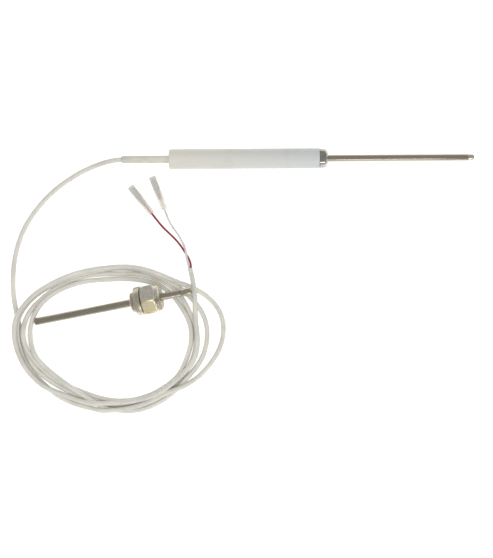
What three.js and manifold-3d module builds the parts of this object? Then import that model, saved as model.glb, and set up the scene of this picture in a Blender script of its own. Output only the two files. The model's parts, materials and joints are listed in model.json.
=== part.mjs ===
// Flame sensor probe: a stainless sheath in a white insulating handle, a two-core lead laid in a
// loose coil, and a closed guide tube with its screwed compression gland.
// Millimetres, +Z up. The parts lie on the plane z = 0, the probe along +X.

import * as THREE from 'three';
import { mergeVertices } from 'three/addons/utils/BufferGeometryUtils.js';
import Module from 'manifold-3d';

const wasm = await Module();
wasm.setup();

// ---- driving dimensions ----
const GAP = 0.3; // between pieces that touch

const HANDLE_RADIUS = 8;
const HANDLE_LENGTH = 120;
const HANDLE_REAR = -67; // x of the handle's cable end
const PROBE_Y = 62.2; // the probe's axis lies this far from the middle of the set

const SHEATH_RADIUS = 2.6;
const SHEATH_WALL = 0.45;
const PROBE_TIP = 176.9; // x of the sheath's closed end
const TIP_LENGTH = 5.4;
const CAP_RADIUS = 7.6;
const CAP_LENGTH = 6.7;

const CABLE_RADIUS = 2;
const STRAIN_SLEEVE_RADIUS = 2.95;
const STRAIN_SLEEVE_END = -104.7; // x where the cable leaves the strain sleeve
const CORE_RADIUS = 0.85;

const TUBE_RADIUS = 2.95;
const TUBE_BORE = 2.65;
const TUBE_LENGTH = 130;
const TUBE_END = [-176.4, -67.45]; // x, y of the guide tube's closed end
const TUBE_YAW = THREE.MathUtils.degToRad(10.84);
const PLUG_LENGTH = 2.7;
const PLUG_ROUND = 0.8;
const COLLAR_RADIUS = 3.2;
const COLLAR_LENGTH = 8.5;

const FLANGE_RADIUS = 11.5;
const FLANGE_AT = 85; // all gland positions are measured along the tube from its closed end
const FLANGE_WIDTH = 5;
const STUB_RADIUS = 8;
const WALL_STUB_LENGTH = 4;
const NUT_AT = 90.6;
const NUT_HEX_WIDTH = 11.2;
const NUT_ACROSS_FLATS = 22;
const NUT_CHAMFER = 1.4;
const NUT_END = 105.4;
const NUT_STUB_END = 97.8; // end of the gland body's threaded stub inside the nut
const NUT_TWIST = THREE.MathUtils.degToRad(2.3);
const NUT_TRAVEL = 2.6; // along the tube, from tight to one and a half turns loose
const GLAND_BORE = 3.25;

const SPADE_SLEEVE_LENGTH = 28;
const SPADE_SLEEVE_WIDTH = 5.6;
const SPADE_SLEEVE_HEIGHT = 4.4;
const SPADE_SLEEVE_WALL = 0.3;
const SPADE_Z = SPADE_SLEEVE_HEIGHT / 2;

// The loose coil: the distance of each turn from the coil's middle, every 15 degrees from its -X
// side round through -Y, +X and +Y. The last pass leaves for the wires after half a turn.
const COIL_MIDDLE = [-109.6, -83.2];
const COIL_HEIGHT = 9;
const COIL_TURNS = [
  [77, 72.5, 64, 57, 54, 52.5, 52, 53.5, 55, 57, 59.5, 62, 63.5, 62.5, 62, 62, 58.7, 56, 54,
   56, 60, 64.5, 70, 77],
  [76, 68, 60, 53, 49.5, 48.5, 48.5, 49.5, 51, 53, 56.5, 57, 59.5, 60, 57.5, 57.5, 54.5, 51.5,
   50, 51, 55.5, 61, 67.5, 72],
  [71, 65, 56.5, 52.5, 51.5, 54, 56.5, 58.5, 59.5, 61, 62.5, 68.5, 72, 72.5, 68.5, 64.5, 61, 60,
   58.7, 59, 62, 67.5, 76, 82.5],
  [80, 76, 69.5, 65, 60.5, 57.5, 55, 54.5, 55.5, 57.5, 68, 76.5, 84.5, 86, 78, 67, 63, 61.2,
   59.7, 60, 63.5, 68.5, 76.5, 83],
  [82, 77, 70.5, 61, 56, 51.5, 49.5, 50, 52, 54.5, 57.5, 63.5, 64.5],
];

// Cable and wire routes outside the coil, each from the probe's side outwards.
const LEAD_ROUTE = [
  [-105, 62.2, 8], [-112, 61.7, 7.2], [-119, 60.3, 5.4], [-126.2, 58.2, 3.6], [-133, 55.6, 2.4],
  [-139.3, 52.7, 2.1], [-152.5, 44.5, 2.1], [-164.6, 34.8, 2.1], [-177.7, 19.6, 2.1],
  [-187.6, 2.3, 2.1], [-193.2, -18.8, 2.1], [-194.3, -37.5, 2.1], [-193.6, -49, 2.4],
];
const TAIL_ROUTE = [[-48.3, -36.6, 5.6], [-49.4, -33.6, 4.6], [-50.5, -30, 3.2], [-51.3, -24.9, 2.1]];
const RED_ROUTE = [
  [-50.3, -24.5, 2.1], [-51, -20.5, 1.5], [-52.6, -16.8, 1], [-55, -12.7, 1], [-58.3, -7.5, 1],
  [-62.6, -2.1, 1], [-68, 3.3, 1.1], [-73, 8.2, 1.6], [-77.6, 13.8, 2.1], [-81.7, 19.1, 2.2],
];
const WHITE_ROUTE = [
  [-52.35, -24.4, 2.1], [-52.9, -20.5, 2.8], [-54, -16, 3.2], [-54.5, -12, 3], [-55.5, -8, 2],
  [-57, -4.6, 1.1], [-59.7, 0.4, 1], [-62.8, 5, 1], [-66, 9.6, 1.1], [-68.6, 14.6, 1.7],
  [-70.4, 19.4, 2.1], [-71.6, 22.7, 2.2],
];
const RED_SPADE_TURN = THREE.MathUtils.degToRad(128);
const WHITE_SPADE_TURN = THREE.MathUtils.degToRad(110.6);

// ---- materials ----
function finish(color, roughness, metalness) {
  return new THREE.MeshStandardMaterial({ color, roughness, metalness });
}

const whitePlastic = finish(0xdcddd6, 0.45, 0);
const steel = finish(0x8c867a, 0.35, 1);
const brightSteel = finish(0xb4b2a8, 0.18, 1);
const mottledSteel = finish(0x9a9684, 0.4, 1);
const creamJacket = finish(0xd8d3c8, 0.3, 0);
const creamSleeve = finish(0xe0ddd4, 0.5, 0);
const redWire = finish(0xa32f38, 0.4, 0);
const whiteWire = finish(0xd8d8d4, 0.4, 0);
const tinned = finish(0xb0b0ac, 0.35, 1);
const clearSleeve = finish(0xe8e4de, 0.25, 0);
const ceramic = finish(0xefece2, 0.6, 0);
const brass = finish(0xb8964f, 0.35, 1);

// ---- shape helpers ----
const model = new THREE.Group();

// A turned piece along +X from [x, radius] points; with a bore the outline closes on itself.
function turned(outline, sides = 32) {
  const bored = outline[0][1] > 0;
  const points = (bored ? [...outline, outline[0]] : outline).map(([x, r]) => new THREE.Vector2(r, x));
  return new THREE.LatheGeometry(points, sides).rotateZ(-Math.PI / 2);
}

// A plain tube from x0 to x1: in along the outside, back along the bore.
function pipe(x0, x1, outer, bore, sides = 32) {
  return turned([[x0, bore], [x0, outer], [x1, outer], [x1, bore]], sides);
}

function rod(x0, x1, radius, sides = 16) {
  return turned([[x0, 0], [x0, radius], [x1, radius], [x1, 0]], sides);
}

function tubeAlong(route, radius, sides, step) {
  const path = new THREE.CatmullRomCurve3(route.map((p) => new THREE.Vector3(...p)));
  const section = new THREE.Shape();
  section.absarc(0, 0, radius, 0, 2 * Math.PI);
  const steps = Math.round(path.getLength() / step);
  return new THREE.ExtrudeGeometry(section, {
    curveSegments: sides, steps, bevelEnabled: false, extrudePath: path,
  });
}

function asSolid(geometry) {
  const bare = geometry.clone();
  bare.deleteAttribute('normal');
  bare.deleteAttribute('uv');
  const merged = mergeVertices(bare.index ? bare.toNonIndexed() : bare, 1e-4);
  return new wasm.Manifold(new wasm.Mesh({
    numProp: 3,
    vertProperties: new Float32Array(merged.attributes.position.array),
    triVerts: new Uint32Array(merged.index.array),
  }));
}

function asGeometry(solid) {
  const mesh = solid.getMesh();
  const geometry = new THREE.BufferGeometry();
  geometry.setAttribute('position', new THREE.BufferAttribute(new Float32Array(mesh.vertProperties), 3));
  geometry.setIndex(new THREE.BufferAttribute(new Uint32Array(mesh.triVerts), 1));
  geometry.computeVertexNormals();
  return geometry;
}

function place(parent, name, geometry, material) {
  const mesh = new THREE.Mesh(geometry, material);
  mesh.name = name;
  parent.add(mesh);
}

// ---- the probe: handle, cap, sheath and what they hold ----
const probe = new THREE.Group();
probe.position.set(0, PROBE_Y, HANDLE_RADIUS);
model.add(probe);

const HANDLE_FRONT = HANDLE_REAR + HANDLE_LENGTH;
const HANDLE_BORE = 4.6;
const SHEATH_REAR = 20;
const INSULATOR_END = 154;
const LEG_OFFSET = 0.8; // the two inner wires run this far each side of the axis
const LEG_RADIUS = 0.22;
const SPLICE_START = -6;
const SPLICE_END = 8;
const SPLICE_RADIUS = 1.1;
const SPLICE_OFFSET = 1.3;
const CORE_OFFSET = 1.05;
const CABLE_STRIPPED = -22; // x where the jacket ends inside the handle

function handle() {
  const round = 1.2;
  const shoulder = SHEATH_REAR + 14;
  return turned([
    [HANDLE_REAR, HANDLE_BORE], [HANDLE_REAR, HANDLE_RADIUS - round],
    [HANDLE_REAR + 0.35 * round, HANDLE_RADIUS - 0.35 * round], [HANDLE_REAR + round, HANDLE_RADIUS],
    [HANDLE_FRONT - 0.4, HANDLE_RADIUS], [HANDLE_FRONT, HANDLE_RADIUS - 0.4],
    [HANDLE_FRONT, SHEATH_RADIUS + GAP], [shoulder, SHEATH_RADIUS + GAP], [shoulder, HANDLE_BORE],
  ], 48);
}

function frontCap() {
  const back = HANDLE_FRONT + GAP;
  const front = HANDLE_FRONT + CAP_LENGTH;
  const dome = 3.6;
  const outline = [[back, SHEATH_RADIUS + GAP], [back, CAP_RADIUS]];
  for (let step = 0; step <= 6; step += 1) {
    const turn = (step / 6) * (Math.PI / 2);
    outline.push([front - dome + dome * Math.sin(turn), CAP_RADIUS - dome + dome * Math.cos(turn)]);
  }
  outline.push([front, SHEATH_RADIUS + GAP]);
  return turned(outline, 40);
}

function sheathTip() {
  const seam = PROBE_TIP - TIP_LENGTH + GAP;
  const round = 1.6;
  const spigot = SHEATH_RADIUS - SHEATH_WALL - GAP;
  const outline = [[seam - 3, 0], [seam - 3, spigot], [seam, spigot], [seam, SHEATH_RADIUS]];
  for (let step = 0; step <= 4; step += 1) {
    const turn = (step / 4) * (Math.PI / 2);
    outline.push([
      PROBE_TIP - round + round * Math.sin(turn), SHEATH_RADIUS - round + round * Math.cos(turn),
    ]);
  }
  outline.push([PROBE_TIP, 0]);
  return turned(outline, 24);
}

function insulator(x0, x1) {
  const section = new THREE.Shape();
  section.absarc(0, 0, 1.7, 0, 2 * Math.PI);
  for (const side of [-1, 1]) {
    const bore = new THREE.Path();
    bore.absarc(0, side * LEG_OFFSET, 0.5, 0, 2 * Math.PI, true);
    section.holes.push(bore);
  }
  const body = new THREE.ExtrudeGeometry(section, {
    depth: x1 - x0, curveSegments: 14, bevelEnabled: false,
  });
  return body.rotateY(Math.PI / 2).translate(x0, 0, 0);
}

place(probe, 'handle', handle(), whitePlastic);
place(probe, 'front_cap', frontCap(), brightSteel);
place(probe, 'probe_sheath',
  pipe(SHEATH_REAR, PROBE_TIP - TIP_LENGTH, SHEATH_RADIUS, SHEATH_RADIUS - SHEATH_WALL, 24), steel);
place(probe, 'sheath_tip', sheathTip(), brightSteel);
place(probe, 'ceramic_insulator', insulator(SHEATH_REAR + 1, INSULATOR_END), ceramic);
place(probe, 'sensing_element', rod(INSULATOR_END + 2, INSULATOR_END + 13, 1.6), ceramic);
place(probe, 'strain_sleeve',
  pipe(STRAIN_SLEEVE_END, HANDLE_REAR + 20, STRAIN_SLEEVE_RADIUS, CABLE_RADIUS + GAP, 28), creamSleeve);
place(probe, 'rear_bush',
  pipe(HANDLE_REAR + 5, HANDLE_REAR + 17, HANDLE_BORE - GAP, STRAIN_SLEEVE_RADIUS + GAP, 28), ceramic);
place(probe, 'cable_in_handle', rod(STRAIN_SLEEVE_END, CABLE_STRIPPED, CABLE_RADIUS, 20), creamJacket);
place(probe, 'cable_crimp_ring', pipe(-38, -31, 3.4, CABLE_RADIUS + GAP, 24), brass);

for (const [colour, side, material] of [['red', 1, redWire], ['white', -1, whiteWire]]) {
  const leg = rod(SPLICE_END + GAP, INSULATOR_END + 2 - GAP, LEG_RADIUS, 10);
  place(probe, `element_leg_${colour}`, leg.translate(0, side * LEG_OFFSET, 0), tinned);
  const splice = rod(SPLICE_START, SPLICE_END, SPLICE_RADIUS, 16);
  place(probe, `splice_${colour}`, splice.translate(0, side * SPLICE_OFFSET, 0), brass);
  const core = rod(CABLE_STRIPPED + GAP, SPLICE_START - GAP, CORE_RADIUS, 12);
  place(probe, `core_${colour}_in_handle`, core.translate(0, side * CORE_OFFSET, 0), material);
}

// ---- the guide tube and its gland, built along +X from the tube's closed end ----
// The closed end and the nut's lowest corner both rest on z = 0, which sets the tube's slope.
const nutCorner = NUT_ACROSS_FLATS / Math.sqrt(3);
const cornerAt = NUT_AT + NUT_CHAMFER;
const slope = Math.atan2(nutCorner * Math.cos(NUT_TWIST) - TUBE_RADIUS, cornerAt - PLUG_ROUND);
const guide = new THREE.Group();
guide.rotation.set(0, -slope, TUBE_YAW, 'ZYX');
guide.position.set(...TUBE_END, TUBE_RADIUS * Math.cos(slope) - PLUG_ROUND * Math.sin(slope));
model.add(guide);

function endPlug() {
  const spigot = TUBE_BORE - GAP;
  const inset = PLUG_ROUND * 0.3;
  return turned([
    [0, 0], [0, TUBE_RADIUS - PLUG_ROUND], [inset, TUBE_RADIUS - inset], [PLUG_ROUND, TUBE_RADIUS],
    [PLUG_LENGTH, TUBE_RADIUS], [PLUG_LENGTH, spigot], [PLUG_LENGTH + 3, spigot], [PLUG_LENGTH + 3, 0],
  ], 28);
}

function glandBody() {
  const stubStart = FLANGE_AT - WALL_STUB_LENGTH;
  const chamfer = 0.5;
  const threadPitch = 1.3;
  const threadDepth = 0.5;
  const outline = [[stubStart, GLAND_BORE], [stubStart, STUB_RADIUS - 2 * threadDepth]];
  for (let x = stubStart + 0.4; x + threadPitch < FLANGE_AT; x += threadPitch) {
    outline.push([x, STUB_RADIUS - threadDepth], [x + threadPitch / 2, STUB_RADIUS]);
  }
  const flangeEnd = FLANGE_AT + FLANGE_WIDTH;
  outline.push(
    [FLANGE_AT, STUB_RADIUS], [FLANGE_AT, FLANGE_RADIUS - chamfer], [FLANGE_AT + chamfer, FLANGE_RADIUS],
    [flangeEnd - chamfer, FLANGE_RADIUS], [flangeEnd, FLANGE_RADIUS - chamfer],
    [flangeEnd, STUB_RADIUS], [NUT_STUB_END, STUB_RADIUS], [NUT_STUB_END, GLAND_BORE + 1.4],
    [NUT_STUB_END - 1.6, GLAND_BORE],
  );
  return turned(outline, 40);
}

function glandNut() {
  const hexagon = new THREE.Shape();
  for (let corner = 0; corner < 6; corner += 1) {
    const turn = (corner * Math.PI) / 3 + NUT_TWIST;
    const at = [nutCorner * Math.cos(turn), nutCorner * Math.sin(turn)];
    if (corner === 0) hexagon.moveTo(...at);
    else hexagon.lineTo(...at);
  }
  const length = NUT_END - NUT_AT;
  const block = new THREE.ExtrudeGeometry(hexagon, { depth: length, bevelEnabled: false });
  block.rotateY(Math.PI / 2).translate(NUT_AT, 0, 0);
  const hexEnd = NUT_AT + NUT_HEX_WIDTH;
  const flat = NUT_ACROSS_FLATS / 2;
  const skirt = turned([
    [NUT_AT, 0], [NUT_AT, flat + 0.2], [cornerAt, nutCorner + 0.02], [hexEnd - 1.2, nutCorner + 0.2],
    [hexEnd, flat - 0.4], [NUT_END - 2.2, flat - 0.5], [NUT_END - 1.2, flat - 0.8],
    [NUT_END - 0.4, flat - 1.5], [NUT_END, flat - 2.6], [NUT_END, 0],
  ], 48);
  const cavity = STUB_RADIUS + GAP;
  const bore = turned([
    [NUT_AT - 1, 0], [NUT_AT - 1, cavity], [NUT_STUB_END + 1, cavity], [NUT_STUB_END + 2, 5.2],
    [NUT_STUB_END + 5, 5.2], [NUT_STUB_END + 5, GLAND_BORE + 0.05], [NUT_END + 1, GLAND_BORE + 0.05],
    [NUT_END + 1, 0],
  ], 40);
  return asGeometry(asSolid(block).intersect(asSolid(skirt)).subtract(asSolid(bore)));
}

place(guide, 'guide_tube',
  pipe(PLUG_LENGTH + GAP, TUBE_LENGTH - COLLAR_LENGTH, TUBE_RADIUS, TUBE_BORE, 28), steel);
place(guide, 'tube_end_plug', endPlug(), steel);
place(guide, 'mouth_collar',
  pipe(TUBE_LENGTH - COLLAR_LENGTH + GAP, TUBE_LENGTH, COLLAR_RADIUS, TUBE_BORE, 28), mottledSteel);
place(guide, 'gland_body', glandBody(), mottledSteel);
place(guide, 'gland_nut', glandNut(), mottledSteel);
place(guide, 'gland_olive', pipe(NUT_STUB_END + GAP, NUT_STUB_END + 3.2, 4.8, GLAND_BORE, 28), brass);
place(guide, 'gland_follower', pipe(NUT_STUB_END + 3.5, NUT_STUB_END + 4.7, 4.6, GLAND_BORE, 28), steel);

// ---- the cable: lead, coil and tail ----
function coilOutline(pick, margin) {
  const stations = COIL_TURNS[0].length;
  const points = [];
  for (let station = 0; station < stations; station += 1) {
    const passes = COIL_TURNS.filter((turn) => turn.length > station).map((turn) => turn[station]);
    const reach = pick(...passes) + margin;
    const turn = Math.PI + (station * 2 * Math.PI) / stations;
    points.push(new THREE.Vector3(reach * Math.cos(turn), reach * Math.sin(turn), 0));
  }
  const smooth = new THREE.CatmullRomCurve3(points, true).getPoints(2 * stations).slice(0, -1);
  return smooth.map((p) => new THREE.Vector2(p.x, p.y));
}

// The turns pass beside and under the gland, so its room is cut out of their ring.
function coil() {
  const ring = new THREE.Shape(coilOutline(Math.max, CABLE_RADIUS));
  ring.holes.push(new THREE.Path(coilOutline(Math.min, -CABLE_RADIUS)));
  const solid = new THREE.ExtrudeGeometry(ring, { depth: COIL_HEIGHT, bevelEnabled: false });
  guide.updateMatrixWorld(true);
  const room = turned([
    [FLANGE_AT - 1, 0], [FLANGE_AT - 1, nutCorner + GAP],
    [NUT_AT + NUT_HEX_WIDTH + NUT_TRAVEL, nutCorner + GAP],
    [NUT_END + NUT_TRAVEL, NUT_ACROSS_FLATS / 2], [NUT_END + NUT_TRAVEL, 0],
  ], 48).applyMatrix4(guide.matrixWorld);
  return asGeometry(asSolid(solid.translate(...COIL_MIDDLE, 0)).subtract(asSolid(room)));
}

place(model, 'cable_lead', tubeAlong(LEAD_ROUTE, CABLE_RADIUS, 10, 6), creamJacket);
place(model, 'cable_coil', coil(), creamJacket);
place(model, 'cable_tail', tubeAlong(TAIL_ROUTE, CABLE_RADIUS, 10, 4), creamJacket);

// ---- the two wires with their push-on spades ----
const BARREL = { start: 9, end: 15, radius: 1.5 };
const SPADE = { end: 26, width: 4.4, height: 2, slotWidth: 3.6, slotHeight: 1, slotDepth: 9 };

// A flat tube section, lying on its wide side, from x0 to x1.
function flatBar(x0, x1, width, height) {
  const corner = height * 0.45;
  const [w, h] = [width / 2 - corner, height / 2 - corner];
  const section = new THREE.Shape();
  section.absarc(w, h, corner, 0, Math.PI / 2);
  section.absarc(-w, h, corner, Math.PI / 2, Math.PI);
  section.absarc(-w, -h, corner, Math.PI, 1.5 * Math.PI);
  section.absarc(w, -h, corner, 1.5 * Math.PI, 2 * Math.PI);
  const bar = new THREE.ExtrudeGeometry(section, {
    depth: x1 - x0, curveSegments: 5, bevelEnabled: false,
  });
  return bar.rotateX(Math.PI / 2).rotateZ(Math.PI / 2).translate(x0, 0, 0);
}

function spade() {
  const barrel = asSolid(rod(BARREL.start, BARREL.end + 2, BARREL.radius, 20));
  const socket = asSolid(rod(BARREL.start - 1, BARREL.start + 4.5, CORE_RADIUS + 0.3, 16));
  const body = asSolid(flatBar(BARREL.end, SPADE.end, SPADE.width, SPADE.height));
  const slotStart = SPADE.end - SPADE.slotDepth;
  const slot = asSolid(flatBar(slotStart, SPADE.end + 1, SPADE.slotWidth, SPADE.slotHeight));
  return asGeometry(barrel.add(body).subtract(socket).subtract(slot));
}

function spadeSleeve() {
  const outside = asSolid(flatBar(0, SPADE_SLEEVE_LENGTH, SPADE_SLEEVE_WIDTH, SPADE_SLEEVE_HEIGHT));
  const width = SPADE_SLEEVE_WIDTH - 2 * SPADE_SLEEVE_WALL;
  const height = SPADE_SLEEVE_HEIGHT - 2 * SPADE_SLEEVE_WALL;
  return asGeometry(outside.subtract(asSolid(flatBar(-1, SPADE_SLEEVE_LENGTH + 1, width, height))));
}

function wireWithSpade(colour, route, turn, material) {
  const [endX, endY] = route.at(-1);
  const reach = BARREL.start + 3;
  const seat = [endX + reach * Math.cos(turn), endY + reach * Math.sin(turn), SPADE_Z];
  place(model, `wire_${colour}`, tubeAlong([...route, seat], CORE_RADIUS, 8, 2.4), material);
  const end = new THREE.Group();
  end.position.set(endX, endY, SPADE_Z);
  end.rotation.z = turn;
  model.add(end);
  place(end, `spade_${colour}`, spade(), tinned);
  place(end, `spade_sleeve_${colour}`, spadeSleeve(), clearSleeve);
}

wireWithSpade('red', RED_ROUTE, RED_SPADE_TURN, redWire);
wireWithSpade('white', WHITE_ROUTE, WHITE_SPADE_TURN, whiteWire);

export default model;
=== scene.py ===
"""Flame sensor probe with its coiled cable and guide tube, laid out on a white bench."""

import json
import math

import bmesh
import bpy
import numpy as np
from mathutils import Matrix, Vector


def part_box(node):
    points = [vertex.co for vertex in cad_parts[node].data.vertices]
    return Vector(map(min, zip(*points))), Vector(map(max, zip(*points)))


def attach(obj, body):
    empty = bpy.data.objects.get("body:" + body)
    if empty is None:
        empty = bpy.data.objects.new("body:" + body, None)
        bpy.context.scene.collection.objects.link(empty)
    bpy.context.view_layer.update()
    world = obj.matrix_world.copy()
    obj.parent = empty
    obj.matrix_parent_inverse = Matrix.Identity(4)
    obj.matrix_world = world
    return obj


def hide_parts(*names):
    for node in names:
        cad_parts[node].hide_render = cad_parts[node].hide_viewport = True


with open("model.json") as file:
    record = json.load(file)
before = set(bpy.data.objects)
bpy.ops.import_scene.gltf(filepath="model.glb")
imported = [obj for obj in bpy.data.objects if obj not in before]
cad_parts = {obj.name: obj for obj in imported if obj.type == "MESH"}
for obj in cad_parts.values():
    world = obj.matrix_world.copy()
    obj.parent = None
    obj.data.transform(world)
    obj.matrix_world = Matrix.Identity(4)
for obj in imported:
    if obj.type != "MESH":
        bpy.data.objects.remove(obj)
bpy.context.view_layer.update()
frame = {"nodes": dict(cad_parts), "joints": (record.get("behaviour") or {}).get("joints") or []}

MM = 0.001


# ---------------------------------------------------------------- bench and studio light
# The set lies on a plain white bench under one broad overhead panel, with a smaller soft box
# leaning in from the front, which draws the bright line along the round metal parts.
BENCH_HALF = 1.6
CAMERA_HEIGHT = 0.708
CAMERA_OVER = (-0.0058, -0.0340)
CAMERA_ROLL = math.radians(-0.38)
LENS = 56.45


def srgb(red, green, blue):
    """A displayed colour, 0 to 255, as the linear colour that a shader takes."""
    linear = []
    for level in (red, green, blue):
        share = level / 255
        linear.append(share / 12.92 if share <= 0.04045 else ((share + 0.055) / 1.055) ** 2.4)
    return (*linear, 1.0)


class Wire:
    """One value in a material, so that shader maths reads as arithmetic."""

    def __init__(self, finish, socket):
        self.finish = finish
        self.socket = socket

    def combine(self, operation, first, second=0.0):
        return self.finish.node("ShaderNodeMath", {"operation": operation}, {0: first, 1: second})

    def __add__(self, other):
        return self.combine("ADD", self, other)

    def __mul__(self, other):
        return self.combine("MULTIPLY", self, other)

    __radd__ = __add__
    __rmul__ = __mul__


class Finish:
    """A material: its Principled shader, and node(), which makes every other node in it."""

    def __init__(self, name, **shader):
        self.material = bpy.data.materials.new(name)
        self.material.use_nodes = True
        self.tree = self.material.node_tree
        self.shader = self.tree.nodes["Principled BSDF"]
        self.shade(**shader)

    def shade(self, **shader):
        for name, value in shader.items():
            self.feed(self.shader.inputs[name.replace("_", " ").title().replace("Ior", "IOR")], value)

    def feed(self, socket, value):
        if isinstance(value, Wire):
            self.tree.links.new(value.socket, socket)
        else:
            socket.default_value = value

    def node(self, kind, settings=None, inputs=None, output=0):
        made = self.tree.nodes.new(kind)
        for name, value in (settings or {}).items():
            setattr(made, name, value)
        for key, value in (inputs or {}).items():
            self.feed(made.inputs[key], value)
        return Wire(self, made.outputs[output])

    def place(self, scale=(1, 1, 1), turn=(0, 0, 0), centre=(0, 0, 0)):
        """Object coordinates moved to a centre, turned and stretched, for the pattern nodes."""
        here = self.node("ShaderNodeTexCoord", output="Object")
        moved = self.node("ShaderNodeVectorMath", {"operation": "SUBTRACT"}, {0: here, 1: centre})
        turned = self.node("ShaderNodeMapping", {"vector_type": "TEXTURE"},
                           {"Vector": moved, "Rotation": turn})
        return self.node("ShaderNodeVectorMath", {"operation": "MULTIPLY"}, {0: turned, 1: scale})

    def noise(self, vector, scale, detail=3.0, rough=0.55):
        return self.node("ShaderNodeTexNoise", inputs={
            "Vector": vector, "Scale": scale, "Detail": detail, "Roughness": rough})

    def value_between(self, factor, low, high, least, most):
        """A value from least to most as factor goes from low to high."""
        return self.node("ShaderNodeMapRange", inputs={0: factor, 1: low, 2: high, 3: least, 4: most})

    def mix(self, share, first, second):
        return self.node("ShaderNodeMix", {"data_type": "RGBA"}, {0: share, 6: first, 7: second}, 2)

    def between(self, factor, low, high, colours):
        """A colour from the first to the second as factor goes from low to high."""
        return self.mix(self.value_between(factor, low, high, 0.0, 1.0), *colours)

    def bump(self, height, strength, distance):
        self.shade(normal=self.node("ShaderNodeBump", inputs={
            "Height": height, "Strength": strength, "Distance": distance}))


def lay_bench():
    sheet = bmesh.new()
    bmesh.ops.create_grid(sheet, x_segments=1, y_segments=1, size=BENCH_HALF)
    mesh = bpy.data.meshes.new("bench")
    sheet.to_mesh(mesh)
    sheet.free()
    bench = bpy.data.objects.new("bench", mesh)
    bpy.context.collection.objects.link(bench)
    white = Finish("bench_white", base_color=srgb(235, 235, 234), roughness=0.9,
                   emission_color=(1.0, 1.0, 0.99, 1.0), emission_strength=0.55)
    mesh.materials.append(white.material)


def hang_panel(name, place, aim, size, power, in_reflections):
    lamp = bpy.data.lights.new(name, "AREA")
    lamp.shape = "RECTANGLE"
    lamp.size, lamp.size_y = size
    lamp.energy = power
    panel = bpy.data.objects.new(name, lamp)
    panel.location = place
    panel.rotation_euler = (Vector(aim) - Vector(place)).to_track_quat("-Z", "Y").to_euler()
    panel.visible_glossy = in_reflections
    bpy.context.collection.objects.link(panel)


def set_camera():
    lens = bpy.data.cameras.new("bench_camera")
    lens.lens = LENS
    lens.sensor_width = 36
    lens.clip_start = 0.01
    camera = bpy.data.objects.new("bench_camera", lens)
    camera.location = (*CAMERA_OVER, CAMERA_HEIGHT)
    camera.rotation_euler = (0, 0, CAMERA_ROLL)
    bpy.context.collection.objects.link(camera)
    bpy.context.scene.camera = camera


lay_bench()
set_camera()
hang_panel("overhead_panel", (-0.1, -0.1, 1.5), (0, 0, 0), (1.4, 1.4), 13, False)
hang_panel("front_softbox", (0.29, -0.72, 0.46), (0.12, 0.06, 0), (0.60, 0.20), 1.3, True)
world = bpy.data.worlds.new("studio")
world.use_nodes = True
world.node_tree.nodes["Background"].inputs["Color"].default_value = (0.41, 0.41, 0.41, 1)
bpy.context.scene.world = world
bpy.context.scene.view_settings.view_transform = "Standard"


# ---------------------------------------------------------------- cable
# Two metres of round two-core cable in a glossy cream jacket, 4 mm thick. It leaves the strain
# sleeve, drops to the bench, and is coiled loosely four and a half times before the wires.
CABLE_RADIUS = 2 * MM
CABLE_STEP = 1.5 * MM
SLEEVE_EXIT = 40 * MM  # the first stretch keeps the heights it leaves the strain sleeve with
COIL_MIDDLE = (-109.6, -83.2)
LEAD_ROUTE = (
    (-105, 62.2, 8), (-112, 61.7, 7.2), (-119, 60.3, 5.4), (-126.2, 58.2, 3.6), (-133, 55.6, 2.4),
    (-139.3, 52.7, 2.1), (-152.5, 44.5, 2.1), (-164.6, 34.8, 2.1), (-177.7, 19.6, 2.1),
    (-187.6, 2.3, 2.1), (-193.2, -18.8, 2.1), (-194.3, -37.5, 2.1), (-193.6, -49, 2.4),
)
COIL_TURNS = (  # distance from the coil's middle every 15 degrees, from its -X side round by -Y
    (77, 72.5, 64, 57, 54, 52.5, 52, 53.5, 55, 57, 59.5, 62, 63.5, 62.5, 62, 62, 58.7, 56,
     54, 56, 60, 64.5, 70, 77),
    (76, 68, 60, 53, 49.5, 48.5, 48.5, 49.5, 51, 53, 56.5, 57, 59.5, 60, 57.5, 57.5, 54.5, 51.5,
     50, 51, 55.5, 61, 67.5, 72),
    (71, 65, 56.5, 52.5, 51.5, 54, 56.5, 58.5, 59.5, 61, 62.5, 68.5, 72, 72.5, 68.5, 64.5, 61,
     60, 58.7, 59, 62, 67.5, 76, 82.5),
    (80, 76, 69.5, 65, 60.5, 57.5, 55, 54.5, 55.5, 57.5, 68, 76.5, 84.5, 86, 78, 67, 63, 61.2,
     59.7, 60, 63.5, 68.5, 76.5, 83),
    (82, 77, 70.5, 61, 56, 51.5, 49.5, 50, 52, 54.5, 57.5, 63.5, 64.5),
)
TAIL_ROUTE = (
    (-47.5, -64, 4), (-47, -50, 5), (-48.3, -36.6, 4.6), (-49.4, -33.6, 3.8), (-50.5, -30, 2.8),
    (-51.3, -24.9, 2.1),
)


def coil_points():
    """The coil's turns one after another, as x and y in mm."""
    stations = len(COIL_TURNS[0])
    for turn in COIL_TURNS:
        for station, reach in enumerate(turn):
            angle = math.pi + station * math.tau / stations
            yield (COIL_MIDDLE[0] + reach * math.cos(angle), COIL_MIDDLE[1] + reach * math.sin(angle),
                   CABLE_RADIUS / MM)


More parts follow.
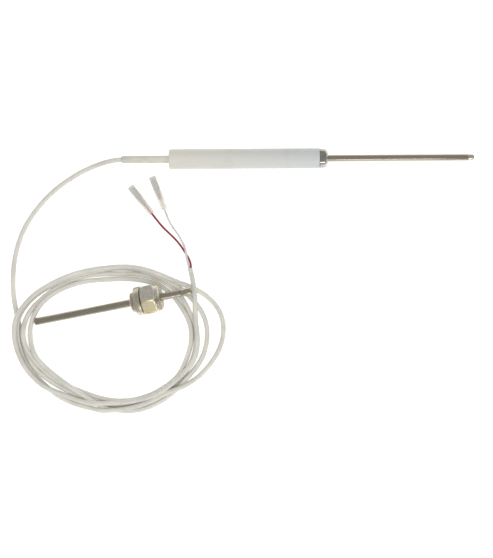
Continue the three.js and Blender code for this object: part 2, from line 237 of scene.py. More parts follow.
def smooth_line(points, step):
    """A smooth curve through the points, as evenly spaced points about step apart."""
    guide = np.array(points, float)
    before = np.vstack([2 * guide[0] - guide[1], guide, 2 * guide[-1] - guide[-2]])
    share = np.linspace(0, 1, 24, endpoint=False)[:, None]
    pieces = []
    for p0, p1, p2, p3 in zip(before, before[1:], before[2:], before[3:]):
        pieces.append(p1 + 0.5 * share * (p2 - p0 + share * (2 * p0 - 5 * p1 + 4 * p2 - p3
                                                              + share * (3 * (p1 - p2) + p3 - p0))))
    fine = np.vstack([*pieces, guide[-1:]])
    along = np.concatenate([[0], np.cumsum(np.linalg.norm(np.diff(fine, axis=0), axis=1))])
    even = np.linspace(0, along[-1], round(along[-1] / step) + 1)
    return np.stack([np.interp(even, along, fine[:, axis]) for axis in range(3)], axis=1)


def ease(line, held, rounds=30):
    """Takes the sharpest bends out of the line's free points, seen from above."""
    line = line.copy()
    for _ in range(rounds):
        middle = (line[:-2, :2] + 2 * line[1:-1, :2] + line[2:, :2]) / 4
        line[1:-1, :2] = np.where(held[1:-1, None], line[1:-1, :2], middle)
    return line


def settle(line, radius, held, rounds=700):
    """Drops the line's free points until each rests on the bench or on an earlier stretch of it."""
    flat = line[:, :2]
    apart = np.linalg.norm(flat[:, None] - flat[None], axis=2)
    upper, lower = np.nonzero(apart < 2 * radius)
    later = upper - lower > 8
    upper, lower = upper[later], lower[later]
    lift = np.sqrt(np.maximum((2 * radius) ** 2 - apart[upper, lower] ** 2, 0))
    height = line[:, 2].copy()
    for _ in range(rounds):
        relaxed = height.copy()
        relaxed[2:-2] = (4 * (height[1:-3] + height[3:-1]) - height[:-4] - height[4:]) / 6
        relaxed = 0.5 * (relaxed + height) - 0.02 * MM
        relaxed = np.maximum(relaxed, radius)
        for _ in range(2):
            np.maximum.at(relaxed, upper, relaxed[lower] + lift)
        height = np.where(held, line[:, 2], relaxed)
    settled = line.copy()
    settled[:, 2] = height
    return settled


def cord_curve(name, line, radius, keep_every, finish, sides=4):
    """A round cord along a line, as one open curve."""
    points = [*line[:-1:keep_every], line[-1]]
    path = bpy.data.curves.new(name, "CURVE")
    path.dimensions = "3D"
    path.bevel_depth = radius
    path.bevel_resolution = sides
    path.use_fill_caps = True
    path.resolution_u = 3
    spline = path.splines.new("NURBS")
    spline.points.add(len(points) - 1)
    for point, place in zip(spline.points, points):
        point.co = (*place, 1)
    spline.order_u = 3
    spline.use_endpoint_u = True
    spline.resolution_u = 3
    cord = bpy.data.objects.new(name, path)
    bpy.context.collection.objects.link(cord)
    path.materials.append(finish.material)
    return cord


def cream_jacket():
    """Glossy, slightly see-through cream plastic, a touch warmer and duller in patches."""
    finish = Finish("cream_jacket", roughness=0.28, subsurface_weight=0.15, subsurface_scale=0.002,
                    coat_weight=0.3, coat_roughness=0.15)
    patches = finish.noise(finish.place(), 60, 3)
    grain = finish.noise(finish.place(), 900, 2)
    finish.shade(base_color=finish.between(patches + 0.25 * grain, 0.4, 0.85,
                                           (srgb(210, 208, 199), srgb(227, 225, 216))))
    finish.shade(roughness=finish.value_between(patches, 0.3, 0.7, 0.22, 0.38))
    finish.bump(grain, 0.15, 0.0003)
    return finish


cable_route = [*LEAD_ROUTE, *coil_points(), *TAIL_ROUTE]
cable_line = smooth_line(cable_route, CABLE_STEP / MM) * MM
from_start = np.arange(len(cable_line)) * CABLE_STEP
sleeve_drop = from_start < SLEEVE_EXIT
cable_line = settle(ease(cable_line, sleeve_drop), CABLE_RADIUS, sleeve_drop)
cable = cord_curve("cable", cable_line, CABLE_RADIUS, 4, cream_jacket(), 5)
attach(cable, "root")
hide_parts("cable_lead", "cable_coil", "cable_tail")


# ---------------------------------------------------------------- red and white wires
# Two stranded cores in glossy insulation, 1.7 mm thick. They part where the jacket ends and are
# crimped into a push-on spade each; the red one passes under the white one on its way.
CORE_RADIUS = 0.85 * MM
CORE_STEP = 0.8 * MM
RED_TONES = ((128, 38, 48), (160, 58, 66))
WHITE_TONES = ((205, 203, 200), (226, 225, 221))
RED_ROUTE = (
    (-50.45, -25.1, 2.1), (-51, -20.5, 1.5), (-52.6, -16.8, 1), (-55, -12.7, 1), (-58.3, -7.5, 1),
    (-62.6, -2.1, 1), (-68, 3.3, 1.1), (-73, 8.2, 1.6), (-77.6, 13.8, 2.1), (-81.7, 19.1, 2.2),
    (-89.1, 28.5, 2.2),
)
WHITE_ROUTE = (
    (-52.2, -25.1, 2.1), (-52.9, -20.5, 2.8), (-54, -16, 3.2), (-54.5, -12, 3), (-55.5, -8, 2),
    (-57, -4.6, 1.1), (-59.7, 0.4, 1), (-62.8, 5, 1), (-66, 9.6, 1.1), (-68.6, 14.6, 1.7),
    (-70.4, 19.4, 2.1), (-71.6, 22.7, 2.2), (-75.8, 33.9, 2.2),
)


def core_insulation(name, dull, fresh):
    """Glossy extruded insulation, uneven in tone along its length."""
    finish = Finish(name, roughness=0.3, coat_weight=0.25, coat_roughness=0.2)
    tone = finish.noise(finish.place(), 220, 3)
    finish.shade(base_color=finish.between(tone, 0.35, 0.7, (srgb(*dull), srgb(*fresh))))
    finish.shade(roughness=finish.value_between(tone, 0.3, 0.7, 0.24, 0.42))
    finish.bump(finish.noise(finish.place(), 1500, 2), 0.1, 0.0002)
    return finish


red_line = smooth_line(RED_ROUTE, CORE_STEP / MM) * MM
red_wire = cord_curve("red_wire", red_line, CORE_RADIUS, 3,
                      core_insulation("red_insulation", *RED_TONES))
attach(red_wire, "root")
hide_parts("wire_red")
white_line = smooth_line(WHITE_ROUTE, CORE_STEP / MM) * MM
white_wire = cord_curve("white_wire", white_line, CORE_RADIUS, 3,
                        core_insulation("white_insulation", *WHITE_TONES))
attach(white_wire, "root")
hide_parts("wire_white")


# ---------------------------------------------------------------- spades
# Two push-on receptacles stamped from tinned brass strip, their long edges rolled inwards. Each
# grips its wire in a barrel closed round the bared strands.
SPADE_Z = 2.2 * MM
SPADE_HALF_WIDTH = 2.05
SPADE_ROLL = 0.78
SPADE_STRIP = 0.3
BARREL_RADIUS = 1.35
SPADE_STATIONS = (  # distance from the wire's end, and how far the section has opened out there
    (9, 0.0), (9.4, 0.0), (11.8, 0.0), (12.2, 0.0), (14.6, 0.0), (15.4, 0.12), (16.2, 0.5),
    (17, 0.88), (17.8, 1.0), (21.5, 1.0), (25.4, 1.0), (26, 1.0),
)
RED_TURN = math.radians(128)
WHITE_TURN = math.radians(110.6)


def spade_section(open_share):
    """The strip's section as (y, z) points: a closed barrel at 0, the rolled receptacle at 1."""
    count = 28
    points = []
    for step in range(count + 1):
        share = step / count
        turn = math.radians(96 - 352 * share)
        barrel = np.array([BARREL_RADIUS * math.cos(turn), BARREL_RADIUS * math.sin(turn)])
        side = 1 if share < 0.5 else -1
        reach = min(share, 1 - share) * 2
        if reach < 0.62:
            roll = math.radians(150 - 240 * reach / 0.62)
            middle = SPADE_HALF_WIDTH - SPADE_ROLL
            flat = np.array([side * (middle + SPADE_ROLL * math.cos(roll)), SPADE_ROLL * math.sin(roll)])
        else:
            across = (SPADE_HALF_WIDTH - SPADE_ROLL) * (1 - reach) / 0.38
            flat = np.array([side * across, -SPADE_ROLL])
        points.append((1 - open_share) * barrel + open_share * flat)
    return points


def solid_object(name, shape, seat, finish):
    """A finished mesh placed by its seat, smooth but for its real corners."""
    shape.transform(seat)
    mesh = bpy.data.meshes.new(name)
    shape.to_mesh(mesh)
    shape.free()
    for face in mesh.polygons:
        face.use_smooth = True
    mesh.set_sharp_from_angle(angle=math.radians(38))
    mesh.materials.append(finish.material)
    piece = bpy.data.objects.new(name, mesh)
    bpy.context.collection.objects.link(piece)
    return piece


def wire_seat(wire_end, turn):
    """Where a spade and its sleeve sit: at the wire's end, pointing the way the wire goes."""
    return Matrix.Translation((wire_end[0] * MM, wire_end[1] * MM, SPADE_Z)) @ Matrix.Rotation(turn, 4, "Z")


def stamp_spade(name, wire_end, turn, node, finish):
    shape = bmesh.new()
    rows = [[shape.verts.new((along * MM, y * MM, z * MM)) for y, z in spade_section(share)]
            for along, share in SPADE_STATIONS]
    for row, after in zip(rows, rows[1:]):
        for a, b, c, d in zip(row, row[1:], after[1:], after):
            shape.faces.new((a, b, c, d))
    bmesh.ops.recalc_face_normals(shape, faces=shape.faces)
    bmesh.ops.solidify(shape, geom=list(shape.faces), thickness=SPADE_STRIP * MM)
    bmesh.ops.recalc_face_normals(shape, faces=shape.faces)
    spade = solid_object(name, shape, wire_seat(wire_end, turn), finish)
    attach(spade, "root")
    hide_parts(node)
    return spade


def tinned_strip():
    """Tin plate on brass, bright with dull patches, rubbed to a yellow shade in places."""
    finish = Finish("tinned_strip", metallic=1.0, roughness=0.35)
    patches = finish.noise(finish.place(), 400, 4)
    finish.shade(base_color=finish.between(patches, 0.35, 0.7, (srgb(176, 174, 168), srgb(150, 143, 128))))
    finish.shade(roughness=finish.value_between(patches, 0.3, 0.7, 0.26, 0.5))
    finish.bump(finish.noise(finish.place(), 2500, 2), 0.15, 0.0001)
    return finish


tin = tinned_strip()
red_spade = stamp_spade("red_spade", RED_ROUTE[-2], RED_TURN, "spade_red", tin)
white_spade = stamp_spade("white_spade", WHITE_ROUTE[-2], WHITE_TURN, "spade_white", tin)


# ---------------------------------------------------------------- spade sleeves
# A soft, milky see-through sleeve slipped over each spade, 28 mm long. The tube is pressed flat
# by the spade and keeps a rounder mouth where the wire goes in.
SLEEVE_LENGTH = 28
SLEEVE_HALF_WIDTH = 2.8
SLEEVE_HALF_HEIGHT = 2.2
SLEEVE_WALL = 0.3
SLEEVE_SIDES = 40
SLEEVE_STATIONS = (  # distance along the sleeve, and its width there as a share of the widest
    (0, 0.92), (0.5, 0.95), (3, 0.94), (7, 0.93), (10, 0.97), (14, 1.0), (20, 1.0), (25, 0.99),
    (SLEEVE_LENGTH - 0.4, 1.0), (SLEEVE_LENGTH, 1.0),
)


def slip_sleeve(name, wire_end, turn, node, body, finish):
    """An oval tube, a little narrower where only the wire fills it."""
    shape = bmesh.new()
    rows = []
    for along, width in SLEEVE_STATIONS:
        row = []
        for step in range(SLEEVE_SIDES):
            angle = math.tau * step / SLEEVE_SIDES
            y = math.copysign(abs(math.cos(angle)) ** 0.8, math.cos(angle)) * SLEEVE_HALF_WIDTH * width
            z = math.copysign(abs(math.sin(angle)) ** 0.9, math.sin(angle)) * SLEEVE_HALF_HEIGHT
            row.append(shape.verts.new((along * MM, y * MM, z * MM)))
        rows.append(row)
    for row, after in zip(rows, rows[1:]):
        for step in range(SLEEVE_SIDES):
            shape.faces.new((row[step - 1], row[step], after[step], after[step - 1]))
    bmesh.ops.recalc_face_normals(shape, faces=shape.faces)
    bmesh.ops.solidify(shape, geom=list(shape.faces), thickness=SLEEVE_WALL * MM)
    bmesh.ops.recalc_face_normals(shape, faces=shape.faces)
    sleeve = solid_object(name, shape, wire_seat(wire_end, turn), finish)
    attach(sleeve, body)
    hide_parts(node)
    return sleeve


def milky_sleeve(name, wire_end, turn):
    """Soft see-through vinyl, glossy and faintly wrinkled, milkier over the receptacle."""
    finish = Finish(name, roughness=0.25, ior=1.4)
    here = finish.place((1, 1, 1), (0, 0, turn), (wire_end[0] * MM, wire_end[1] * MM, SPADE_Z))
    along = finish.node("ShaderNodeSeparateXYZ", inputs={0: here})
    cloud = finish.noise(here, 300, 3)
    finish.shade(base_color=finish.between(along, 10 * MM, 20 * MM,
                                           (srgb(247, 240, 232), srgb(226, 225, 220))))
    finish.shade(alpha=finish.value_between(along, 10 * MM, 20 * MM, 0.22, 0.5) + 0.15 * cloud)
    finish.shade(roughness=finish.value_between(cloud, 0.3, 0.7, 0.2, 0.38))
    finish.bump(finish.noise(here, 700, 2), 0.2, 0.0003)
    return finish


red_sleeve = slip_sleeve("red_spade_sleeve", RED_ROUTE[-2], RED_TURN, "spade_sleeve_red", "sleeve_red",
                         milky_sleeve("milky_sleeve_red", RED_ROUTE[-2], RED_TURN))
white_sleeve = slip_sleeve(
    "white_spade_sleeve", WHITE_ROUTE[-2], WHITE_TURN, "spade_sleeve_white", "sleeve_white",
    milky_sleeve("milky_sleeve_white", WHITE_ROUTE[-2], WHITE_TURN))


# ---------------------------------------------------------------- handle
# The white insulating handle, turned in one piece, 16 mm thick and 120 mm long. Its cable end is
# well rounded, its front end only just broken.
HANDLE_RADIUS = 8
HANDLE_REAR = -67
HANDLE_FRONT = 53
HANDLE_BORE = 4.6
SHEATH_BORE = 2.9
SHOULDER_AT = 34
handle_low, handle_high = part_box("handle")
PROBE_AXIS = (0, (handle_low.y + handle_high.y) / 2, (handle_low.z + handle_high.z) / 2)
PROBE_SEAT = Matrix.Translation(PROBE_AXIS)


def arc(middle, radius, first, last, steps):
    """Points round an arc in the (along, radius) plane, in mm and degrees."""
    turns = [math.radians(first + (last - first) * step / steps) for step in range(steps + 1)]
    return [(middle[0] + radius * math.cos(turn), middle[1] + radius * math.sin(turn)) for turn in turns]


def turned_piece(name, outline, seat, finish, sides=72, edge=0.0, reshape=None):
    """A round piece spun about its seat's X axis from (along, radius) points in mm."""
    shape = bmesh.new()
    ring = [shape.verts.new((along * MM, 0, radius * MM)) for along, radius in outline]
    loop = [shape.edges.new(pair) for pair in zip(ring, ring[1:])]
    if min(radius for _, radius in outline) > 0:
        loop.append(shape.edges.new((ring[-1], ring[0])))
    bmesh.ops.spin(shape, geom=[*ring, *loop], axis=(1, 0, 0), cent=(0, 0, 0), angle=math.tau,
                   steps=sides, use_merge=True)
    bmesh.ops.remove_doubles(shape, verts=shape.verts, dist=0.001 * MM)
    if reshape:
        for vertex in shape.verts:
            vertex.co = reshape(vertex.co)
    bmesh.ops.recalc_face_normals(shape, faces=shape.faces)
    if edge:
        corners = [side for side in shape.edges
                   if side.is_manifold and side.calc_face_angle() > math.radians(40)]
        bmesh.ops.bevel(shape, geom=corners, offset=edge * MM, segments=2, profile=0.5, affect="EDGES",
                        material=-1, clamp_overlap=True)
    return solid_object(name, shape, seat, finish)


def white_insulator():
    """Satin white: warmer towards the cable, cooler and greyer at the front, faintly marked."""
    finish = Finish("white_insulator", roughness=0.42, coat_weight=0.1, coat_roughness=0.3)
    here = finish.place()
    along = finish.node("ShaderNodeSeparateXYZ", inputs={0: here})
    tone = finish.between(along, HANDLE_REAR * MM, HANDLE_FRONT * MM,
                          (srgb(222, 219, 208), srgb(206, 209, 208)))
    handling = finish.noise(here, 45, 5, 0.65)
    marks = finish.value_between(handling, 0.58, 0.78, 0.0, 0.35)
    finish.shade(base_color=finish.mix(marks, tone, srgb(188, 186, 176)))
    finish.shade(roughness=finish.value_between(handling, 0.3, 0.75, 0.36, 0.55))
    finish.bump(finish.noise(here, 1100, 3), 0.12, 0.0002)
    return finish


handle = turned_piece("handle_body", [
    (HANDLE_REAR + 0.4, HANDLE_BORE), (HANDLE_REAR, HANDLE_BORE + 0.4),
    *arc((HANDLE_REAR + 1.2, HANDLE_RADIUS - 1.2), 1.2, 180, 90, 8),
    *arc((HANDLE_FRONT - 0.45, HANDLE_RADIUS - 0.45), 0.45, 90, 0, 4),
    (HANDLE_FRONT, SHEATH_BORE), (SHOULDER_AT, SHEATH_BORE), (SHOULDER_AT, HANDLE_BORE),
], PROBE_SEAT, white_insulator(), sides=96)
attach(handle, "root")
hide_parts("handle")


# ---------------------------------------------------------------- strain sleeve
# A matt cream sleeve, 5.9 mm thick, that holds the cable straight for 38 mm behind the handle.
# It is pushed into the handle's bush; its free end is cut square and lightly chamfered.
STRAIN_RADIUS = 2.95
STRAIN_END = -104.7
STRAIN_BORE = 2.3


def matt_sleeve():
    """Matt cream silicone, a little soiled in patches."""
    finish = Finish("matt_sleeve", roughness=0.55)
    soil = finish.noise(finish.place((1, 2, 2)), 110, 4)
    finish.shade(base_color=finish.between(soil, 0.35, 0.75, (srgb(223, 220, 208), srgb(205, 200, 186))))
    finish.shade(roughness=finish.value_between(soil, 0.3, 0.7, 0.48, 0.65))
    finish.bump(finish.noise(finish.place(), 1800, 3), 0.2, 0.0002)
    return finish


strain_sleeve = turned_piece("strain_relief_sleeve", [
    (STRAIN_END + 0.2, STRAIN_BORE), (STRAIN_END, STRAIN_BORE + 0.15), (STRAIN_END, STRAIN_RADIUS - 0.3),
    (STRAIN_END + 0.45, STRAIN_RADIUS), (HANDLE_REAR + 20, STRAIN_RADIUS), (HANDLE_REAR + 20, STRAIN_BORE),
], PROBE_SEAT, matt_sleeve(), sides=48)
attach(strain_sleeve, "root")
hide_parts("strain_sleeve")


# ---------------------------------------------------------------- front cap
# A small polished steel cap closes the handle round the sheath. It is pressed from thin sheet,
# with a well rounded shoulder and a flat nose.
CAP_RADIUS = 7.6
CAP_BACK = 53.3
CAP_NOSE = 59.7
CAP_DOME = 3.6


def polished_cap():
    """Bright pressed steel with fine turning lines and a few dull spots."""
    finish = Finish("polished_cap", metallic=1.0, roughness=0.12)
    here = finish.place()
    spots = finish.noise(here, 260, 4)
    finish.shade(base_color=finish.between(spots, 0.4, 0.75, (srgb(192, 190, 184), srgb(160, 156, 148))))
    finish.shade(roughness=finish.value_between(spots, 0.3, 0.75, 0.09, 0.24))
    finish.bump(finish.noise(finish.place((6000, 150, 150), centre=PROBE_AXIS), 1, 2), 0.05, 0.0001)
    return finish


front_cap = turned_piece("handle_front_cap", [
    (CAP_BACK, SHEATH_BORE), (CAP_BACK, CAP_RADIUS - 0.15), (CAP_BACK + 0.15, CAP_RADIUS),
    *arc((CAP_NOSE - CAP_DOME, CAP_RADIUS - CAP_DOME), CAP_DOME, 90, 0, 14),
    (CAP_NOSE, SHEATH_BORE + 0.1), (CAP_NOSE - 0.1, SHEATH_BORE),
], PROBE_SEAT, polished_cap(), sides=96)
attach(front_cap, "root")
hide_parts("front_cap")


# ---------------------------------------------------------------- probe sheath
# The drawn stainless tube that shields the sensing element, 5.2 mm thick and 0.45 mm in the wall.
# It runs from inside the handle to the welded tip.
SHEATH_RADIUS = 2.6
SHEATH_WALL = 0.45
SHEATH_REAR = 20
TIP_SEAM = 171.5


def drawn_steel(name, seat, warm, cool, roughness):
    """Drawn stainless tube: fine lines along it, uneven brown-grey tone, small dull specks."""
    finish = Finish(name, metallic=1.0, roughness=roughness)
    turn = tuple(seat.to_euler())
    centre = tuple(seat.translation)
    streaks = finish.noise(finish.place((12, 1400, 1400), turn, centre), 1, 3)
    bands = finish.noise(finish.place((55, 30, 30), turn, centre), 1, 3)
    specks = finish.noise(finish.place(), 1300, 3, 0.7)
    tone = 0.45 * streaks + 0.75 * bands
    finish.shade(base_color=finish.between(tone, 0.4, 0.85, (srgb(*warm), srgb(*cool))))
    wear = finish.value_between(specks, 0.35, 0.75, -0.05, 0.12)
    finish.shade(roughness=wear + finish.value_between(tone, 0.4, 0.8, roughness - 0.05, roughness + 0.06))
    finish.bump(streaks + 0.3 * specks, 0.12, 0.0001)
    return finish


sheath_steel = drawn_steel("sheath_steel", PROBE_SEAT, (190, 181, 163), (172, 164, 150), 0.2)
probe_sheath = turned_piece("sheath_tube", [
    (SHEATH_REAR, SHEATH_RADIUS - SHEATH_WALL), (SHEATH_REAR, SHEATH_RADIUS), (TIP_SEAM, SHEATH_RADIUS),
    (TIP_SEAM, SHEATH_RADIUS - SHEATH_WALL),
], PROBE_SEAT, sheath_steel, sides=64, edge=0.08)
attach(probe_sheath, "root")
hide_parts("probe_sheath")


# ---------------------------------------------------------------- sheath tip
# The closed end of the sheath, a solid plug turned with a rounded nose and welded in. Its steel is painted
# lighter than the tube as a painted highlight.
TIP_NOSE = 176.9
TIP_ROUND = 1.6
TIP_SPIGOT = 1.85

# Painted highlight: the plug's colours are lighter than the tube's and stand in for the highlight on its
# rounded nose.
tip_steel_painted_highlight = drawn_steel("tip_steel_painted_highlight", PROBE_SEAT, (226, 223, 214), (206, 202, 192), 0.24)
sheath_tip = turned_piece("sheath_end_plug", [
    (TIP_SEAM - 2.7, 0), (TIP_SEAM - 2.7, TIP_SPIGOT), (TIP_SEAM + 0.3, TIP_SPIGOT),
    (TIP_SEAM + 0.3, SHEATH_RADIUS - 0.12), (TIP_SEAM + 0.42, SHEATH_RADIUS),
    *arc((TIP_NOSE - TIP_ROUND, SHEATH_RADIUS - TIP_ROUND), TIP_ROUND, 90, 0, 10), (TIP_NOSE, 0),
], PROBE_SEAT, tip_steel_painted_highlight, sides=64)
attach(sheath_tip, "root")
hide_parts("sheath_tip")


# ---------------------------------------------------------------- ceramics inside the probe
# The twin-bore insulator in the sheath, the sensing element near its tip and the bush in the
# handle's cable end are all plain fired ceramic.
def fired_ceramic():
    """Off-white unglazed ceramic with a fine grain."""
    finish = Finish("fired_ceramic", roughness=0.7)
    cloud = finish.noise(finish.place(), 240, 4)
    finish.shade(base_color=finish.between(cloud, 0.35, 0.7, (srgb(236, 232, 220), srgb(214, 208, 192))))
    finish.shade(roughness=finish.value_between(cloud, 0.3, 0.7, 0.6, 0.8))
    finish.bump(finish.noise(finish.place(), 2200, 3), 0.25, 0.0002)
    return finish


def dress(finish, *names):
    """Gives CAD nodes, which keep their own meshes, this finish."""
    for name in names:
        for slot in frame["nodes"][name].material_slots:
            slot.material = finish.material


dress(fired_ceramic(), "ceramic_insulator", "sensing_element", "rear_bush")


# ---------------------------------------------------------------- crimps inside the handle
# Brass: the ring crimped on the jacket, the two splices where the cores meet the element's legs,
# and the olive that the gland squeezes on the guide tube.
def plain_brass():
    """Drawn brass, tarnished in patches."""
    finish = Finish("plain_brass", metallic=1.0, roughness=0.35)
    tarnish = finish.noise(finish.place(), 350, 4)
    finish.shade(base_color=finish.between(tarnish, 0.35, 0.7, (srgb(196, 166, 96), srgb(150, 118, 66))))
    finish.shade(roughness=finish.value_between(tarnish, 0.3, 0.7, 0.25, 0.5))
    finish.bump(tarnish, 0.1, 0.0002)
    return finish


dress(plain_brass(), "cable_crimp_ring", "splice_red", "splice_white", "gland_olive")


# ---------------------------------------------------------------- conductors inside the handle
# The cable's last stretch of jacket, its two cores, and the element's two bare nickel legs, all
# laid straight along the handle.
dress(cream_jacket(), "cable_in_handle")
dress(core_insulation("red_insulation_inside", *RED_TONES), "core_red_in_handle")
dress(core_insulation("white_insulation_inside", *WHITE_TONES), "core_white_in_handle")
dress(drawn_steel("nickel_leg", PROBE_SEAT, (178, 172, 158), (156, 150, 138), 0.3),
      "element_leg_red", "element_leg_white")


# ---------------------------------------------------------------- guide tube
# A thin stainless tube, 5.9 mm thick and 130 mm long with its collar. It lies tilted on the bench:
# its closed end is down, and the gland holds its open end up.
TUBE_RADIUS = 2.95
TUBE_BORE = 2.65
PLUG_LENGTH = 2.7
TUBE_LENGTH = 130
COLLAR_LENGTH = 8.5
NUT_PIVOT = 90
nut_turn = next(joint for joint in frame["joints"] if joint["name"] == "gland_nut_turn")
ALONG = Vector(nut_turn["axis"]).normalized()
ACROSS = Vector((0, 0, 1)).cross(ALONG).normalized()
GUIDE_SEAT = Matrix.LocRotScale(
    Vector(nut_turn["pos_m"]) - NUT_PIVOT * MM * ALONG,
    Matrix((ALONG, ACROSS, ALONG.cross(ACROSS))).transposed(), None)

tube_steel = drawn_steel("tube_steel", GUIDE_SEAT, (190, 182, 164), (166, 160, 146), 0.32)
guide_tube = turned_piece("guide_tube_body", [
    (PLUG_LENGTH + 0.3, TUBE_BORE), (PLUG_LENGTH + 0.3, TUBE_RADIUS),
    (TUBE_LENGTH - COLLAR_LENGTH, TUBE_RADIUS), (TUBE_LENGTH - COLLAR_LENGTH, TUBE_BORE),
], GUIDE_SEAT, tube_steel, sides=64, edge=0.06)
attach(guide_tube, "guide_tube")
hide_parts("guide_tube")


# ---------------------------------------------------------------- guide tube's end plug
# The closed end: a short turned plug pushed in and welded, its rim rounded over.
PLUG_ROUND = 0.8
PLUG_SPIGOT = 2.35

plug_steel = drawn_steel("plug_steel", GUIDE_SEAT, (194, 186, 168), (166, 160, 146), 0.34)
end_plug = turned_piece("guide_tube_plug", [
    (0, 0), (0, TUBE_RADIUS - PLUG_ROUND),
    *arc((PLUG_ROUND, TUBE_RADIUS - PLUG_ROUND), PLUG_ROUND, 180, 90, 6)[1:],
    (PLUG_LENGTH - 0.12, TUBE_RADIUS), (PLUG_LENGTH, TUBE_RADIUS - 0.12), (PLUG_LENGTH, PLUG_SPIGOT),
    (PLUG_LENGTH + 3, PLUG_SPIGOT), (PLUG_LENGTH + 3, 0),
], GUIDE_SEAT, plug_steel, sides=64)
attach(end_plug, "guide_tube")
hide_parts("tube_end_plug")


# ---------------------------------------------------------------- mouth collar
# A collar swaged on the guide tube's open end, 6.4 mm thick, dull and scuffed from handling.
COLLAR_RADIUS = 3.2


def scuffed_metal(name, seat, light, dark):
    """Plated metal gone mottled: dull blotches, tiny pits, scuffs that run round the piece."""
    finish = Finish(name, metallic=1.0, roughness=0.35)
    turn = tuple(seat.to_euler())
    centre = tuple(seat.translation)
    blotches = finish.noise(finish.place(), 420, 5, 0.65)
    pits = finish.noise(finish.place(), 2600, 3, 0.6)
    rings = finish.noise(finish.place((2400, 120, 120), turn, centre), 1, 3)
    tone = blotches + 0.25 * pits
    finish.shade(base_color=finish.between(tone, 0.45, 0.85, (srgb(*light), srgb(*dark))))
    finish.shade(roughness=finish.value_between(tone, 0.4, 0.85, 0.24, 0.5))
    finish.bump(0.6 * rings + 0.5 * pits, 0.2, 0.00012)
    return finish


collar_steel = scuffed_metal("collar_steel", GUIDE_SEAT, (214, 208, 190), (172, 166, 148))
mouth_collar = turned_piece("guide_tube_collar", [
    (TUBE_LENGTH - COLLAR_LENGTH + 0.3, TUBE_BORE), (TUBE_LENGTH - COLLAR_LENGTH + 0.3, COLLAR_RADIUS),
    (TUBE_LENGTH, COLLAR_RADIUS), (TUBE_LENGTH, TUBE_BORE),
], GUIDE_SEAT, collar_steel, sides=64, edge=0.14)
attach(mouth_collar, "guide_tube")
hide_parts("mouth_collar")


# ---------------------------------------------------------------- gland body
# The gland's turned body: a short fine-threaded stub for the burner wall, a 23 mm flange that
# seats on it, and a longer stub inside the nut.
GLAND_BORE = 3.25
FLANGE_AT = 85
FLANGE_FRONT = FLANGE_AT + 5
FLANGE_RADIUS = 11.5
STUB_RADIUS = 8
STUB_LENGTH = 4
INNER_STUB_END = 97.8
THREAD_PITCH = 1.0
THREAD_DEPTH = 0.45


def thread_profile(start, end):
    """Crests and roots of a fine thread between two places on the stub."""
    crests = round((end - start) / THREAD_PITCH)
    for crest in range(crests):
        at = start + crest * THREAD_PITCH
        yield at + 0.1, STUB_RADIUS - THREAD_DEPTH
        yield at + 0.45, STUB_RADIUS - 0.06
        yield at + 0.6, STUB_RADIUS - 0.06
        yield at + 0.95, STUB_RADIUS - THREAD_DEPTH


gland_body = turned_piece("gland_body_turned", [
    (FLANGE_AT - STUB_LENGTH, GLAND_BORE), (FLANGE_AT - STUB_LENGTH, STUB_RADIUS - 1),
    *thread_profile(FLANGE_AT - STUB_LENGTH + 0.4, FLANGE_AT - 0.6), (FLANGE_AT, STUB_RADIUS - 0.4),
    (FLANGE_AT, FLANGE_RADIUS - 0.5), (FLANGE_AT + 0.15, FLANGE_RADIUS - 0.15),
    (FLANGE_AT + 0.5, FLANGE_RADIUS), (FLANGE_FRONT - 0.5, FLANGE_RADIUS),
    (FLANGE_FRONT - 0.15, FLANGE_RADIUS - 0.15), (FLANGE_FRONT, FLANGE_RADIUS - 0.5),
    (FLANGE_FRONT, STUB_RADIUS),
    (INNER_STUB_END, STUB_RADIUS), (INNER_STUB_END, GLAND_BORE + 1.4), (INNER_STUB_END - 1.6, GLAND_BORE),
], GUIDE_SEAT, scuffed_metal("gland_plating", GUIDE_SEAT, (238, 230, 214), (190, 182, 164)), sides=96)
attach(gland_body, "root")
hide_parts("gland_body")


# ---------------------------------------------------------------- gland nut
# The compression nut: a 22 mm hexagon with chamfered ends that runs into a short round boss with
# a well rounded rim, through which the guide tube comes out.
NUT_AT = 90.6
NUT_HEX_END = 101.8
NUT_END = 105.4
NUT_FLAT = 11
NUT_CORNER = NUT_FLAT * 2 / math.sqrt(3)
NUT_TWIST = math.radians(2.3)
NUT_THREAD_BORE = STUB_RADIUS + 0.3
NUT_FOLLOWER_BORE = 5.2
NUT_TUBE_BORE = GLAND_BORE + 0.05


def hexagonal(place):
    """Pulls a round outline in to the nut's hexagon, and turns it to stand on its corner."""
    radius = math.hypot(place.y, place.z)
    around = math.atan2(-place.y, place.z)
    from_flat = (around + math.tau) % (math.tau / 6) - math.tau / 12
    held = min(radius, NUT_FLAT * MM / math.cos(from_flat))
    around += NUT_TWIST
    return Vector((place.x, -held * math.sin(around), held * math.cos(around)))


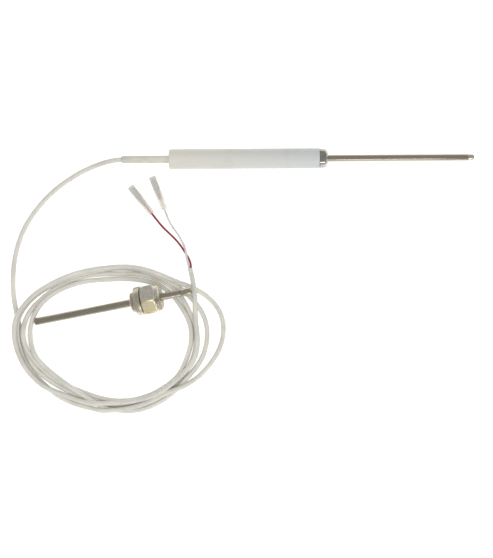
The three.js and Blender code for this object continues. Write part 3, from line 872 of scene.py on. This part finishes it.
def plating_with_painted_side_light():
    """The nut's plating with painted light by side: its lower hex faces are painted lighter and warmer as a
    painted reflection, and the lower half of its boss is painted darker as painted shade.
    """
    finish = scuffed_metal("nut_plating", GUIDE_SEAT, (246, 240, 226), (208, 201, 184))
    here = finish.place((1, 1, 1), tuple(GUIDE_SEAT.to_euler()), tuple(GUIDE_SEAT.translation))
    blotches = finish.noise(finish.place(), 420, 5, 0.65)
    # Painted light: a mask for the nut's lower side, which gets a painted reflection on the hex faces and
    # painted shade on the boss.
    painted_side_mask = finish.value_between(finish.node("ShaderNodeSeparateXYZ", inputs={0: here}, output=1),
                                 -1.2 * MM, 1.2 * MM, 1.0, 0.0)
    boss = finish.value_between(finish.node("ShaderNodeSeparateXYZ", inputs={0: here}),
                                (NUT_HEX_END - 0.2) * MM, (NUT_HEX_END + 0.4) * MM, 0.0, 1.0)
    upper_side_plating = finish.between(blotches, 0.35, 0.7, (srgb(247, 242, 230), srgb(212, 206, 190)))
    # Painted reflection: the lower hex faces get a lighter, warmer copy of the plating.
    painted_lit_lower_faces = finish.between(blotches, 0.35, 0.7, (srgb(255, 246, 210), srgb(238, 220, 180)))
    # Painted shade: the lower half of the boss gets a darker copy of the plating.
    painted_boss_shade = finish.between(blotches, 0.35, 0.7, (srgb(206, 198, 184), srgb(150, 142, 126)))
    faces = finish.mix(painted_side_mask, upper_side_plating, painted_lit_lower_faces)
    finish.shade(base_color=finish.mix(boss * painted_side_mask, faces, painted_boss_shade))
    return finish


nut_metal = plating_with_painted_side_light()
gland_nut = turned_piece("gland_nut_turned", [
    (NUT_AT, NUT_THREAD_BORE), (NUT_AT, NUT_FLAT - 0.2), (NUT_AT + 0.1, NUT_FLAT),
    (NUT_AT + 0.5, NUT_FLAT + 0.62), (NUT_AT + 0.95, NUT_FLAT + 1.2), (NUT_AT + 1.4, NUT_CORNER),
    (NUT_AT + 5, NUT_CORNER), (NUT_HEX_END - 1.3, NUT_CORNER), (NUT_HEX_END - 0.9, NUT_FLAT + 1.15),
    (NUT_HEX_END - 0.5, NUT_FLAT + 0.6), (NUT_HEX_END - 0.1, NUT_FLAT), (NUT_HEX_END, NUT_FLAT - 0.4),
    (NUT_HEX_END + 0.25, NUT_FLAT - 0.55), *arc((NUT_END - 2.2, NUT_FLAT - 2.75), 2.2, 90, 12, 8),
    (NUT_END, NUT_FLAT - 2.9), (NUT_END, GLAND_BORE + 0.35), (NUT_END - 0.3, NUT_TUBE_BORE),
    (INNER_STUB_END + 5, NUT_TUBE_BORE), (INNER_STUB_END + 5, NUT_FOLLOWER_BORE),
    (INNER_STUB_END + 2, NUT_FOLLOWER_BORE), (INNER_STUB_END + 1, NUT_THREAD_BORE),
], GUIDE_SEAT, nut_metal, sides=96, reshape=hexagonal)
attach(gland_nut, "gland_nut")
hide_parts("gland_nut")


# ---------------------------------------------------------------- gland follower
# A plain steel washer between the nut and the olive, so that the olive doesn't turn.
dress(drawn_steel("follower_steel", GUIDE_SEAT, (170, 164, 150), (146, 140, 128), 0.3), "gland_follower")
